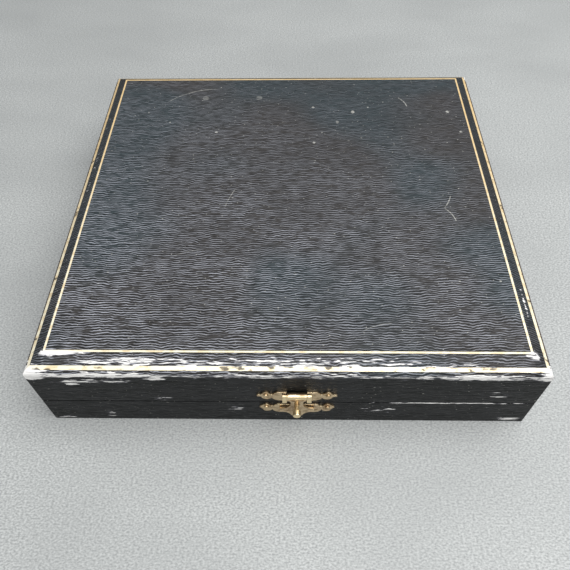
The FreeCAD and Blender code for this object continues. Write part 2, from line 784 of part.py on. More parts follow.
def build_linings(mitres):
    base_wall, lid_wall = BASE_WALL, LID_WALL
    base_strip = ring(
        "base_strip", base_wall, f"({base_wall} + lining_thick)", (FLOOR, "base_height + collar_rise")
    )
    lid_strip = ring(
        "lid_strip",
        lid_wall,
        f"({lid_wall} + lining_thick)",
        (f"{LID_RIM} + collar_rise + collar_room", LID_CEILING),
    )
    for side in SIDES:
        keep(common(f"base_strip_{side}", base_strip, mitres[side]), f"base_lining_{side}")
        keep(common(f"lid_strip_{side}", lid_strip, mitres[side]), f"lid_lining_{side}")


def build_pads():
    base_inset = f"({BASE_WALL} + lining_thick + pad_clear)"
    x, y = even(f"case_width / 2 - {base_inset}"), even(f"case_depth / 2 - {base_inset}")
    bed_z = (f"{FLOOR} + pad_board_thick", f"{FLOOR} + pad_board_thick + bed_thick")
    keep(box("bed_card", x, y, (FLOOR, bed_z[0])), "bed_board")
    plate = box("bed_block", x, y, bed_z)
    disc = doc.addObject("Part::Cylinder", "bed_disc")
    hole = doc.addObject("Part::Cylinder", "bed_hole")
    for piece, radius in ((disc, "bed_inner_radius"), (hole, "bed_outer_radius")):
        piece.setExpression("Radius", bound(radius))
        piece.setExpression("Height", bound("bed_thick"))
        place(piece, "0", "0", bed_z[0])
    keep(cut("bed_surround_block", plate, hole), "bed_surround")
    keep(disc, "bed_centre")

    lid_inset = f"({LID_WALL} + lining_thick + pad_clear)"
    x, y = even(f"case_width / 2 - {lid_inset}"), even(f"case_depth / 2 - {lid_inset}")
    card = f"({LID_CEILING} - pad_board_thick)"
    keep(box("lid_card", x, y, (card, LID_CEILING)), "lid_pad_board")
    keep(box("lid_padding", x, y, (f"{card} - lid_pad_thick", card)), "lid_pad")


def check_and_write():
    doc.recompute()
    failed = [o.Label for o in doc.Objects if "Invalid" in o.State or "Error" in o.State]
    if failed:
        raise RuntimeError(f"these objects failed: {failed}")
    names = [piece.Label for piece in kept]
    if len(set(names)) != len(names):
        raise RuntimeError("two pieces have the same name")
    for piece in kept:
        if piece.Shape.isNull() or not piece.Shape.isValid() or not piece.Shape.Solids:
            raise RuntimeError(f"{piece.Label} has no valid solid")
    os.makedirs("parts", exist_ok=True)
    for old in os.listdir("parts"):
        if old.endswith(".step"):
            os.remove(os.path.join("parts", old))
    for piece in kept:
        piece.Shape.exportStep(os.path.join("parts", piece.Label + ".step"))
    print(f"{len(kept)} pieces written")


def main():
    mitres = mitre_prisms()
    nails = {
        "base": hinge_nails("base", "base_height", up=False),
        "lid": hinge_nails("lid", LID_RIM, up=True),
        "upper": clasp_nails(
            "upper", "upper_plate_half - clasp_nail_inset", UPPER_PLATE_Z, "clasp_nail_rise"
        ),
        "lower": clasp_nails("lower", LOWER_NAIL_X, LOWER_PLATE_Z, "lower_nail_rise"),
    }
    base_seats = hinge_seats("base", ("base_height - leaf_thick", "base_height"))
    lid_seats = hinge_seats("lid", (LID_RIM, f"{LID_RIM} + leaf_thick"))
    build_base(mitres, base_seats, nails["base"], nails["lower"])
    build_lid(mitres, lid_seats, nails["lid"], nails["upper"])
    build_hinges(nails["base"], nails["lid"])
    build_clasp(nails["upper"], nails["lower"])
    build_linings(mitres)
    build_pads()
    check_and_write()


main()
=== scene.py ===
"""The looks of a leather-covered jewellery case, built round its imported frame.

The covering is near-black paper with a straight leather grain, worn white at its edges, with two gilt
lines on the lid. The clasp and hinges are pale brass. Inside are a velvet bed with a round channel for
a necklace, a satin pad in the lid, and a lining round each half.
"""

import json
import math

import bmesh
import bpy
import numpy as np
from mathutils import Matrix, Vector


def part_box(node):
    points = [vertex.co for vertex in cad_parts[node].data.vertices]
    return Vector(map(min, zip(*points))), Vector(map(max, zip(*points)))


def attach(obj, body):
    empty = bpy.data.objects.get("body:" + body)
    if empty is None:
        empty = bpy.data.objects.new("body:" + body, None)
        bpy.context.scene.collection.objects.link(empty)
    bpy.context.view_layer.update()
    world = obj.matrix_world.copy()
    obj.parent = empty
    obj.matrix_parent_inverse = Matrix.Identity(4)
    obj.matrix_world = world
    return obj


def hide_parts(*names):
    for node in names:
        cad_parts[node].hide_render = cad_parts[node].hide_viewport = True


bl_info = {
    "name": "Jewellery Case",
    "version": (1, 0, 0),
    "blender": (4, 5, 0),
    "location": "View3D > Sidebar > Jewellery Case",
    "description": "Finishes a leather-covered jewellery case and makes its soft lining",
    "category": "Object",
}

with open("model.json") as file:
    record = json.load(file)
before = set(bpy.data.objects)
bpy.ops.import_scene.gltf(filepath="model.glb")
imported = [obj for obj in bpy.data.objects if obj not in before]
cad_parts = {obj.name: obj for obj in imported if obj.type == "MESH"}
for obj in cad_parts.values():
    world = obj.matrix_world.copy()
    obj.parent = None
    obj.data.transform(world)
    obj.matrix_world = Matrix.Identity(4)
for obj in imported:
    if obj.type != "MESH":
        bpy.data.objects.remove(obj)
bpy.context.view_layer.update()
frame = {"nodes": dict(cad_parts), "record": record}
MM = 0.001

# Where the covering folds over the lid's edge: the grain runs on unbroken across this height.
FOLD_Z = 0.0465

# The round hole in the necklace bed, the room left for the pads to swell, and their even mesh size.
BED_HOLE = 80 * MM
PAD_ROOM = 1.2 * MM
PAD_VOXEL = 3.2 * MM

# The gathers round the satin pad: how far in they reach, how deep they are, and how far apart.
GATHER_REACH = 9 * MM
GATHER_DEPTH = 1.4 * MM
GATHER_PITCH = 9 * MM

# Half the table top's width in metres, and how many frames the cloth settles.
TABLE_HALF = 3.0
SETTLE_FRAMES = 20

# Rubbed zones of the covering in mm: centre, reach each way, and how far the colour has gone there.
# Some zones also stand in for painted highlight, as noted.
RUBBED = [
    ((-119, -114, 46.5), (18, 10, 7), 1.0),
    ((-85, -115, 46.5), (60, 5, 3.4), 0.95),
    ((-60, -115, 44), (9, 3, 2.4), 1.0),
    ((-90, -115, 41.5), (34, 3, 4.2), 0.72),
    ((0, -114.5, 46.5), (150, 4, 3.2), 0.68),
    ((85, -114.6, 46), (56, 4, 4), 0.9),
    ((119, -113, 46), (10, 10, 7), 1.0),
    # The next four zones, on the front bevel, are paler than wear alone: they also paint the highlight on
    # its ripples.
    ((0, -110, 50.5), (170, 5.4, 4), 0.62),
    ((-70, -109.5, 50.5), (62, 4.6, 3.4), 0.74),
    ((-105, -106.8, 53), (26, 3.2, 2.4), 1.0),
    ((112, -107, 52.5), (8, 5, 3), 0.8),
    ((-100, -115, 38.5), (5.5, 2, 2), 1.05),
    ((-60, -115, 24), (12, 2, 3), 0.5),
    ((100, -115, 30), (9, 2, 10), 0.45),
    ((-119.5, -20, 46.5), (2.4, 125, 3), 0.6),
    ((-119.5, 40, 46.5), (2.4, 40, 3), 0.72),
    ((119.6, 0, 46.5), (2.2, 125, 2.6), 0.5),
    ((114.2, -77, 50.5), (1.6, 21, 3), 0.76),
    ((-114.5, 30, 50.5), (3, 100, 3), 0.42),
    ((118, 113, 47), (9, 9, 5), 0.8),
    ((-118, 113, 47), (8, 8, 5), 0.7),
    ((0, 114.6, 46.5), (130, 2.6, 3), 0.78),
    # This zone along the base's top rim edge is a pale line: partly wear, partly painted highlight on the
    # rounded edge.
    ((80, -115, 20.5), (60, 1.5, 0.9), 0.9),
    ((112, -115, 3), (12, 2, 3.4), 0.75),
    ((-113, -115, 2), (10, 2, 2.4), 0.66),
    ((-90, -115, 7), (6, 2, 6), 0.62),
    ((-25, -115, 14), (8, 2, 8), 0.62),
    ((45, -115, 13), (16, 2, 7), 0.5),
    ((119.6, 0, 1), (1.5, 125, 1.6), 0.6),
    ((-119.6, 0, 1), (1.5, 125, 1.6), 0.6),
    ((0, 114.7, 1), (130, 1.5, 1.6), 0.55),
]

# Scratches on the lid's top in mm, to the nearest 5: from, to, how far the line bows, width, strength.
SCRATCHES = [
    ((-80, 80), (-45, 95), 4.5, 0.45, 0.5),
    ((90, -5), (85, -15), 0.6, 0.42, 0.8),
    ((85, -15), (90, -25), 1.0, 0.42, 0.8),
    ((70, 85), (75, 75), 1.0, 0.5, 0.8),
    ((-35, -15), (-30, 0), 0.4, 0.4, 0.5),
    ((35, -95), (50, -90), 1.2, 0.35, 0.4),
    ((-60, -50), (-45, -45), 0.8, 0.35, 0.3),
]

# Chips on the lid's top in mm, to the nearest 5: middle, radius, strength.
CHIPS = [
    ((15, 75), 1.5, 0.9),
    ((40, 70), 2.0, 0.9),
    ((30, 60), 2.0, 0.75),
    ((20, 50), 1.0, 0.9),
    ((15, 40), 1.5, 0.9),
    ((100, 70), 2.0, 0.85),
    ((105, 50), 1.5, 0.85),
    ((-45, 50), 1.5, 0.8),
    ((85, -65), 1.0, 0.9),
    ((105, -65), 1.0, 0.8),
    ((50, 75), 1.0, 0.8),
    ((60, 80), 1.0, 0.7),
    ((-75, 60), 1.0, 0.8),
    ((-90, 70), 1.0, 0.7),
    ((-55, 85), 3.5, 0.3),
    ((-20, 85), 3.5, 0.3),
]

# Settings shared by many nodes.
SMOOTH = {"interpolation_type": "SMOOTHSTEP"}
BLEND = {"out": 2, "data_type": "RGBA"}


def linear(hex_text, alpha=1.0):
    """An sRGB hex colour as linear RGBA."""
    parts = [int(hex_text[k : k + 2], 16) / 255 for k in (1, 3, 5)]
    return tuple(c / 12.92 if c <= 0.04045 else ((c + 0.055) / 1.055) ** 2.4 for c in parts) + (alpha,)


def add(tree, kind, values=(), operation=None, out=0, **settings):
    """Adds a shader node, with its inputs given by place or by name, and returns one of its outputs."""
    node = tree.nodes.new("ShaderNode" + kind)
    if operation:
        node.operation = operation
    for name, setting in settings.items():
        setattr(node, name, setting)
    for key, given in values.items() if isinstance(values, dict) else enumerate(values):
        if isinstance(given, bpy.types.NodeSocket):
            tree.links.new(given, node.inputs[key])
        elif given is not None:
            node.inputs[key].default_value = given
    return node.outputs[out] if len(node.outputs) else node


# --- patterns ---


def blank(name):
    """A new empty material and its tree."""
    material = bpy.data.materials.new(name)
    material.use_nodes = True
    material.node_tree.nodes.clear()
    return material.node_tree


def coat(tree, values):
    """Ends a material: its shader, with these inputs, on its output."""
    add(tree, "OutputMaterial", (add(tree, "BsdfPrincipled", values),))


def mottle(tree, place, sizes, detail=2.0, distortion=0.0, seed=0.0):
    """Patches of these sizes in metres along X, Y and Z; the pattern doesn't change along a None."""
    scale = tuple(0.0 if size is None else 1.0 / size for size in sizes)
    spot = add(tree, "Mapping", {"Vector": place, "Scale": scale, "Location": (seed, seed, seed)})
    values = {"Vector": spot, "Scale": 1.0, "Detail": detail, "Distortion": distortion}
    return add(tree, "TexNoise", values)


def laid_flat(tree):
    """The covering's place before it was folded: Object X and Y, with the drop below the fold laid out.

    Along each wall the place moves outwards by the wall's normal times the drop.
    """
    place = add(tree, "TexCoord", out="Object")
    normal = add(tree, "TexCoord", out="Normal")
    drop = add(tree, "Math", (FOLD_Z, add(tree, "SeparateXYZ", (place,), out="Z")), "SUBTRACT")
    outwards = add(tree, "VectorMath", {0: normal, "Scale": drop}, "SCALE")
    return place, add(tree, "VectorMath", (place, outwards), "ADD")


def rubbed(tree, place):
    """How far the covering is worn at a place: the strongest of the rubbed zones, each fading out."""
    worn = 0.0
    for centre, reach, strength in RUBBED:
        middle = tuple(c * MM for c in centre)
        offset = add(tree, "VectorMath", (place, middle), "SUBTRACT")
        offset = add(tree, "VectorMath", (offset, tuple(r * MM for r in reach)), "DIVIDE")
        far = add(tree, "VectorMath", (offset,), "LENGTH", out="Value")
        zone = add(tree, "MapRange", (far, 1.0, 0.2, 0.0, strength), **SMOOTH)
        worn = add(tree, "Math", (worn, zone), "MAXIMUM")
    return worn


def arc_of(start, end, bow):
    """The arc between two points that bows out by bow: its centre, radius, crown, and half its span."""
    start, end = np.array(start, dtype=float), np.array(end, dtype=float)
    chord = np.linalg.norm(end - start)
    radius = (chord**2 / 4 + bow**2) / (2 * bow)
    across = np.array([start[1] - end[1], end[0] - start[0]]) / chord
    crown = (start + end) / 2 + across * bow
    return crown - across * radius, radius, crown, math.hypot(chord / 2, bow)


def scratched(tree, place, ragged):
    """Scratches and chips in the lid's top: the strongest of the arcs and spots, broken up by the grain."""
    plan = add(tree, "VectorMath", (place, (1.0, 1.0, 0.0)), "MULTIPLY")
    top = add(tree, "MapRange", (add(tree, "SeparateXYZ", (place,), out="Z"), 0.0521, 0.0525), **SMOOTH)
    broken = add(tree, "MapRange", (ragged, 0.4, 0.56, 0.25, 1.0), **SMOOTH)
    marks = 0.0
    for start, end, bow, width, strength in SCRATCHES:
        centre, radius, crown, span = arc_of(start, end, bow)
        away = add(tree, "VectorMath", (plan, (*centre * MM, 0.0)), "DISTANCE", out="Value")
        off = add(tree, "Math", (away, radius * MM), "SUBTRACT")
        off = add(tree, "Math", (off,), "ABSOLUTE")
        line = add(tree, "MapRange", (off, width * MM, 0.2 * width * MM, 0.0, strength), **SMOOTH)
        along = add(tree, "VectorMath", (plan, (*crown * MM, 0.0)), "DISTANCE", out="Value")
        here = add(tree, "MapRange", (along, span * MM, 0.8 * span * MM), **SMOOTH)
        line = add(tree, "Math", (line, here), "MULTIPLY")
        marks = add(tree, "Math", (marks, line), "MAXIMUM")
    for middle, size, strength in CHIPS:
        spot = (middle[0] * MM, middle[1] * MM, 0.0)
        away = add(tree, "VectorMath", (plan, spot), "DISTANCE", out="Value")
        chip = add(tree, "MapRange", (away, size * MM, 0.1 * size * MM), **SMOOTH)
        chip = add(tree, "Math", (chip, ragged), "ADD")
        chip = add(tree, "MapRange", (chip, 0.86, 1.12, 0.0, strength), **SMOOTH)
        marks = add(tree, "Math", (marks, chip), "MAXIMUM")
    marks = add(tree, "Math", (marks, broken), "MULTIPLY")
    return add(tree, "Math", (marks, top), "MULTIPLY")


# --- materials ---


def leathercloth(looks):
    """Leathercloth: paper printed near-black and embossed with a straight grain, then varnished.

    Fine wavy creases a bit over 1 mm apart run from side to side, with thin lips beside them. The
    creases are painted near-black as painted shade and the lips pale as painted highlight. The front edges
    turn white in streaks along the grain where they are rubbed.
    """
    tree = blank("leathercloth")
    place, flat = laid_flat(tree)
    side, deep, height = add(tree, "SeparateXYZ", (place,), out="X").node.outputs
    pitch = looks.grain_pitch

    # The grain is a ripple from front to back. Its phase wanders, so the ridges wave, swell and thin.
    wander = mottle(tree, flat, (0.0085, 0.011, None), detail=3.3)
    wander = add(tree, "Math", (wander, 3.2), "MULTIPLY")
    phase = add(tree, "Math", (add(tree, "SeparateXYZ", (flat,), out="Y"), pitch), "DIVIDE")
    phase = add(tree, "Math", (phase, wander), "ADD")
    wave = add(tree, "Math", (add(tree, "Math", (phase, math.tau), "MULTIPLY"),), "SINE")
    fine = mottle(tree, flat, (4.5 * pitch, 0.55 * pitch, None), detail=2.0, distortion=0.2, seed=3.0)
    fine = add(tree, "Math", (fine, 0.5), "SUBTRACT")
    broken = mottle(tree, flat, (0.012, 0.004, None), detail=2.0, seed=17.0)
    broken = add(tree, "MapRange", (broken, 0.3, 0.6, 0.55, 1.0), **SMOOTH)
    wave = add(tree, "Math", (wave, broken), "MULTIPLY")
    wave = add(tree, "Math", (wave, add(tree, "Math", (fine, 2.1), "MULTIPLY")), "ADD")
    crease_shade = add(tree, "MapRange", (wave, -0.25, -0.9, 0.0, 0.86), **SMOOTH)
    lip = add(tree, "MapRange", (wave, 0.25, 1.0), **SMOOTH)
    cloud = mottle(tree, place, (0.034, 0.022, 0.03), detail=3.0, seed=11.0)
    patch = mottle(tree, place, (0.09, 0.07, 0.08), detail=1.0, seed=5.0)
    ragged = mottle(tree, flat, (0.0055, 0.001, None), detail=4.0, distortion=0.25, seed=9.0)

    # The lips' painted highlight is strongest at the front left, where the glare falls, and varies in
    # patches.
    corner = add(tree, "Math", (side, 0.5), "MULTIPLY")
    corner = add(tree, "Math", (deep, corner), "ADD")
    front_left_glare = add(tree, "MapRange", (corner, 0.1, -0.125, 0.22, 1.0))
    uneven = add(tree, "MapRange", (cloud, 0.34, 0.64, 0.65, 1.0), **SMOOTH)
    glint = add(tree, "Math", (front_left_glare, uneven), "MULTIPLY")

    worn = rubbed(tree, place)
    streak = mottle(tree, flat, (0.016, 0.0014, None), detail=3.0, distortion=0.25, seed=15.0)
    rub = add(tree, "Mix", {0: 0.4, 2: ragged, 3: streak}, data_type="FLOAT")
    over = add(tree, "MapRange", (worn, 0.0, 1.0, 0.24, -0.105))
    over = add(tree, "Math", (add(tree, "Math", (rub, 0.5), "SUBTRACT"), over), "SUBTRACT")
    bare = add(tree, "MapRange", (over, -0.01, 0.02), **SMOOTH)
    scuff = add(tree, "MapRange", (over, -0.05, 0.0, 0.0, 0.5), **SMOOTH)
    dust = mottle(tree, flat, (0.0016, 0.0009, None), detail=1.0, seed=21.0)
    dust = add(tree, "MapRange", (dust, 0.715, 0.76, 0.0, 0.7), **SMOOTH)
    marks = add(tree, "Math", (scratched(tree, place, ragged), dust), "MAXIMUM")

    # Blue-grey and brown patches vary the tone. The walls are painted near-black as painted shade, which
    # leaves the top lighter as painted sheen, and the lips' painted highlight fades out down the walls.
    brown = add(tree, "MapRange", (patch, 0.42, 0.6), **SMOOTH)
    colour = add(tree, "Mix", {0: brown, 6: linear("#323a3d"), 7: linear("#383635")}, **BLEND)
    wall = add(tree, "MapRange", (height, 0.047, 0.0445), **SMOOTH)
    glint = add(tree, "Math", (glint, add(tree, "MapRange", (wall, 0.0, 1.0, 1.0, 0.07))), "MULTIPLY")

    # The side and back bevels are painted darker as painted shade, and their lips' painted highlight is
    # weaker.
    edge = add(tree, "Math", (side,), "ABSOLUTE")
    flank_shade = add(tree, "MapRange", (edge, 0.1108, 0.1122), **SMOOTH)
    flank_shade = add(tree, "Math", (flank_shade, add(tree, "MapRange", (deep, 0.1058, 0.1072), **SMOOTH)), "MAXIMUM")
    glint = add(tree, "Math", (glint, add(tree, "MapRange", (flank_shade, 0.0, 1.0, 1.0, 0.35))), "MULTIPLY")
    dark = add(tree, "Math", (flank_shade, 0.65), "MULTIPLY")
    colour = add(tree, "Mix", {0: dark, 6: colour, 7: linear("#14181a")}, **BLEND)
    # Walls painted near-black: painted shade.
    colour = add(tree, "Mix", {0: wall, 6: colour, 7: linear("#050706")}, **BLEND)
    # The lips are painted pale as painted highlight, and the creases near-black as painted shade.
    lit = add(tree, "Math", (add(tree, "Math", (lip, glint), "MULTIPLY"), 0.7), "MULTIPLY")
    colour = add(tree, "Mix", {0: lit, 6: colour, 7: linear("#b3b6bf")}, **BLEND)
    colour = add(tree, "Mix", {0: crease_shade, 6: colour, 7: linear("#050607")}, **BLEND)

    # Red-brown paper shows along the lid's two side edges, and the line where the two rims meet is painted
    # dark as painted shadow in the gap.
    edge = add(tree, "MapRange", (edge, 0.1184, 0.1193), **SMOOTH)
    upper = add(tree, "MapRange", (height, 0.0445, 0.046), **SMOOTH)
    seam = add(tree, "Math", (edge, upper), "MULTIPLY")
    torn = add(tree, "MapRange", (ragged, 0.36, 0.5), **SMOOTH)
    seam = add(tree, "Math", (seam, torn), "MULTIPLY")
    colour = add(tree, "Mix", {0: seam, 6: colour, 7: linear("#54382a")}, **BLEND)
    gap_shadow = add(tree, "Math", (height, 0.0209), "SUBTRACT")
    gap_shadow = add(tree, "Math", (gap_shadow,), "ABSOLUTE")
    gap_shadow = add(tree, "MapRange", (gap_shadow, 0.0009, 0.0004, 0.0, 0.85), **SMOOTH)
    colour = add(tree, "Mix", {0: gap_shadow, 6: colour, 7: linear("#040505")}, **BLEND)
    colour = add(tree, "Mix", {0: scuff, 6: colour, 7: linear("#8f8e98")}, **BLEND)
    colour = add(tree, "Mix", {0: marks, 6: colour, 7: linear("#b4b3ac")}, **BLEND)
    colour = add(tree, "Mix", {0: bare, 6: colour, 7: linear("#e9e7e4")}, **BLEND)
    # Painted crease shade runs on through the worn white as dark lines, less where the wear is deepest.
    left = add(tree, "Math", (crease_shade, add(tree, "MapRange", (worn, 0.7, 1.0, 0.75, 0.1))), "MULTIPLY")
    colour = add(tree, "Mix", {0: left, 6: colour, 7: linear("#1b1b1d")}, **BLEND)

    rough = add(tree, "MapRange", (lip, 0.0, 1.0, 0.52, 0.34))
    dry = add(tree, "Math", (bare, marks), "MAXIMUM")
    rough = add(tree, "Mix", {0: dry, 2: rough, 3: 0.8}, data_type="FLOAT")
    front = add(tree, "MapRange", (deep, -0.103, -0.107), **SMOOTH)
    folds = mottle(tree, flat, (0.008, 0.0017, None), detail=2.0, distortion=0.6, seed=31.0)
    folds = add(tree, "Math", (add(tree, "Math", (folds, front), "MULTIPLY"), 0.5 * MM), "MULTIPLY")
    relief = add(tree, "Math", (wave, 0.05 * MM), "MULTIPLY")
    relief = add(tree, "Math", (relief, folds), "ADD")
    relief = add(tree, "Math", (relief, add(tree, "Math", (bare, -0.06 * MM), "MULTIPLY")), "ADD")
    bump = add(tree, "Bump", {"Height": relief, "Distance": 1.0, "Strength": 1.0})
    coat(tree, {"Base Color": colour, "Roughness": rough, "Normal": bump, "Specular IOR Level": 0.21})


def gilt_foil():
    """Gold foil: blocked hot into the covering, pale and thin, rubbed through on the grain's ridges."""
    tree = blank("gilt_foil")
    place, flat = laid_flat(tree)
    deep = add(tree, "SeparateXYZ", (place,), out="Y")
    height = deep.node.outputs["Z"]
    grain = mottle(tree, flat, (0.008, 0.0026, None), detail=2.0, distortion=0.7)
    ragged = mottle(tree, flat, (0.005, 0.0035, None), detail=3.0, seed=9.0)
    worn = rubbed(tree, place)
    low = add(tree, "MapRange", (worn, 0.0, 1.0, 0.68, 0.6))
    lower = add(tree, "MapRange", (height, 0.0522, 0.0515, 0.0, 0.07), **SMOOTH)
    rub = add(tree, "Mix", {0: 0.5, 2: grain, 3: ragged}, data_type="FLOAT")
    rub = add(tree, "Math", (rub, lower), "ADD")
    gone = add(tree, "Math", (rub, low), "SUBTRACT")
    gone = add(tree, "MapRange", (gone, -0.04, 0.03, 0.0, 0.85), **SMOOTH)
    # The foil is painted paler and creamier towards the front as painted highlight.
    near = add(tree, "MapRange", (deep, 0.08, -0.112), **SMOOTH)
    gold = add(tree, "Mix", {0: near, 6: linear("#dfc392"), 7: linear("#f3ebcf")}, **BLEND)
    tone = add(tree, "MapRange", (ragged, 0.44, 0.62, 0.0, 0.5), **SMOOTH)
    gold = add(tree, "Mix", {0: tone, 6: gold, 7: linear("#cfae72")}, **BLEND)
    white = add(tree, "MapRange", (worn, 0.45, 0.9, 0.0, 0.9), **SMOOTH)
    gold = add(tree, "Mix", {0: white, 6: gold, 7: linear("#f0ece2")}, **BLEND)
    colour = add(tree, "Mix", {0: gone, 6: gold, 7: linear("#2a2420")}, **BLEND)
    metal = add(tree, "MapRange", (gone, 0.0, 1.0, 0.2, 0.0))
    bump = add(tree, "Bump", {"Height": grain, "Distance": 0.15 * MM})
    coat(tree, {"Base Color": colour, "Metallic": metal, "Roughness": 0.45, "Normal": bump})


def old_brass(looks):
    """Sheet brass: stamped, tumbled bright and lacquered, with brown tarnish in patches.

    The hasp's roll and knob stand proudest and are painted cream and bright: partly wear from fingers,
    partly painted highlight.
    """
    tree = blank("old_brass")
    place = add(tree, "TexCoord", out="Object")
    tarnish = mottle(tree, place, (0.0035, 0.0035, 0.003), detail=4.0, seed=2.0)
    brushed = mottle(tree, place, (0.003, 0.0005, 0.0005), detail=2.0, seed=4.0)
    brown = add(tree, "MapRange", (tarnish, 0.45, 0.68, 0.0, 0.9), **SMOOTH)
    bright = looks.brass_colour[:] + (1.0,)
    colour = add(tree, "Mix", {0: brown, 6: bright, 7: linear("#8d7355")}, **BLEND)
    lit = add(tree, "MapRange", (brushed, 0.56, 0.72, 0.0, 0.8), **SMOOTH)
    deep = add(tree, "SeparateXYZ", (place,), out="Y")
    # Proud parts are painted cream: partly finger wear, partly painted highlight.
    proud_wear_and_highlight = add(tree, "MapRange", (deep, -0.1176, -0.119, 0.0, 0.85), **SMOOTH)
    lit = add(tree, "Math", (lit, proud_wear_and_highlight), "MAXIMUM")
    colour = add(tree, "Mix", {0: lit, 6: colour, 7: linear("#f3e0b6")}, **BLEND)
    rough = add(tree, "MapRange", (tarnish, 0.3, 0.7, 0.26, 0.46))
    edges = add(tree, "Bevel", {"Radius": 0.4 * MM}, samples=6)
    relief = add(tree, "Mix", {0: 0.12, 2: tarnish, 3: brushed}, data_type="FLOAT")
    bump = add(tree, "Bump", {"Height": relief, "Distance": 0.12 * MM, "Normal": edges})
    coat(tree, {"Base Color": colour, "Metallic": 1.0, "Roughness": rough, "Normal": bump})


def bare_pine():
    """Pine: planed and left bare under the covering, with growth rings 2 to 3 mm apart."""
    tree = blank("bare_pine")
    place = add(tree, "TexCoord", out="Object")
    rings = mottle(tree, place, (0.06, 0.06, 0.0026), detail=2.0, distortion=0.6)
    pores = mottle(tree, place, (0.004, 0.004, 0.0005), detail=2.0, seed=6.0)
    late = add(tree, "MapRange", (rings, 0.4, 0.62), **SMOOTH)
    colour = add(tree, "Mix", {0: late, 6: linear("#c9a273"), 7: linear("#a87a4a")}, **BLEND)
    pore = add(tree, "MapRange", (pores, 0.58, 0.72), **SMOOTH)
    colour = add(tree, "Mix", {0: pore, 6: colour, 7: linear("#8e6740")}, **BLEND)
    bump = add(tree, "Bump", {"Height": pores, "Distance": 0.06 * MM})
    coat(tree, {"Base Color": colour, "Roughness": 0.62, "Normal": bump})


def strawboard():
    """Strawboard: pressed from straw pulp, buff, with short fibres about 2 mm long."""
    tree = blank("strawboard")
    place = add(tree, "TexCoord", out="Object")
    fibre = mottle(tree, place, (0.002, 0.0006, 0.0006), detail=3.0)
    dark = add(tree, "MapRange", (fibre, 0.42, 0.62), **SMOOTH)
    colour = add(tree, "Mix", {0: dark, 6: linear("#a8946c"), 7: linear("#8a7651")}, **BLEND)
    bump = add(tree, "Bump", {"Height": fibre, "Distance": 0.08 * MM})
    coat(tree, {"Base Color": colour, "Roughness": 0.85, "Normal": bump})


def wool_felt():
    """Wool felt: milled, not woven, so it has no grain, only a nap of tangled fibre."""
    tree = blank("wool_felt")
    place = add(tree, "TexCoord", out="Object")
    nap = mottle(tree, place, (0.0011, 0.0011, 0.0011), detail=4.0, distortion=1.2)
    cloud = mottle(tree, place, (0.03, 0.03, 0.03), detail=2.0, seed=8.0)
    tuft = add(tree, "MapRange", (nap, 0.4, 0.65), **SMOOTH)
    colour = add(tree, "Mix", {0: tuft, 6: linear("#1b211d"), 7: linear("#3a423b")}, **BLEND)
    faded = add(tree, "MapRange", (cloud, 0.5, 0.7, 0.0, 0.4), **SMOOTH)
    colour = add(tree, "Mix", {0: faded, 6: colour, 7: linear("#4a4c42")}, **BLEND)
    bump = add(tree, "Bump", {"Height": nap, "Distance": 0.35 * MM})
    sheen = {"Sheen Weight": 0.25, "Sheen Roughness": 0.6}
    coat(tree, {"Base Color": colour, "Roughness": 0.95, "Normal": bump, **sheen})


def silk_velvet(looks):
    """Velvet: a cut pile with tufts drawn about 1 mm wide, and a pale sheen where it is seen edge-on.

    Pressed patches of pile lean another way, so they read a little lighter.
    """
    tree = blank("silk_velvet")
    place = add(tree, "TexCoord", out="Object")
    pile = mottle(tree, place, (0.0009, 0.0009, 0.0009), detail=3.0, distortion=0.6)
    pressed = mottle(tree, place, (0.03, 0.012, 0.02), detail=2.0, distortion=0.5, seed=4.0)
    lean = add(tree, "MapRange", (pressed, 0.38, 0.7, 0.0, 0.4), **SMOOTH)
    deep = looks.velvet_colour[:] + (1.0,)
    colour = add(tree, "Mix", {0: lean, 6: deep, 7: linear("#67233f")}, **BLEND)
    tuft = add(tree, "MapRange", (pile, 0.35, 0.7, 0.0, 0.55), **SMOOTH)
    colour = add(tree, "Mix", {0: tuft, 6: colour, 7: linear("#2c0915")}, **BLEND)
    bump = add(tree, "Bump", {"Height": pile, "Distance": 0.3 * MM})
    sheen = {"Sheen Weight": 0.35, "Sheen Roughness": 0.3, "Sheen Tint": linear("#e79ab5")}
    coat(tree, {"Base Color": colour, "Roughness": 0.85, "Normal": bump, **sheen})


def silk_satin(looks):
    """Satin: long warp floats that run front to back, so the gloss is soft and streaked across them."""
    tree = blank("silk_satin")
    place = add(tree, "TexCoord", out="Object")
    floats = mottle(tree, place, (0.0007, 0.011, 0.0007), detail=2.0)
    soft = mottle(tree, place, (0.05, 0.05, 0.03), detail=2.0, seed=12.0)
    cream = looks.satin_colour[:] + (1.0,)
    aged = add(tree, "MapRange", (soft, 0.4, 0.7, 0.0, 0.35), **SMOOTH)
    colour = add(tree, "Mix", {0: aged, 6: cream, 7: linear("#d3bd90")}, **BLEND)
    shine = add(tree, "MapRange", (floats, 0.4, 0.7, 0.0, 0.5), **SMOOTH)
    colour = add(tree, "Mix", {0: shine, 6: colour, 7: linear("#f4e9d0")}, **BLEND)
    rough = add(tree, "MapRange", (floats, 0.3, 0.7, 0.28, 0.42))
    bump = add(tree, "Bump", {"Height": floats, "Distance": 0.05 * MM})
    sheen = {"Sheen Weight": 0.3, "Anisotropic": 0.4}
    coat(tree, {"Base Color": colour, "Roughness": rough, "Normal": bump, **sheen})


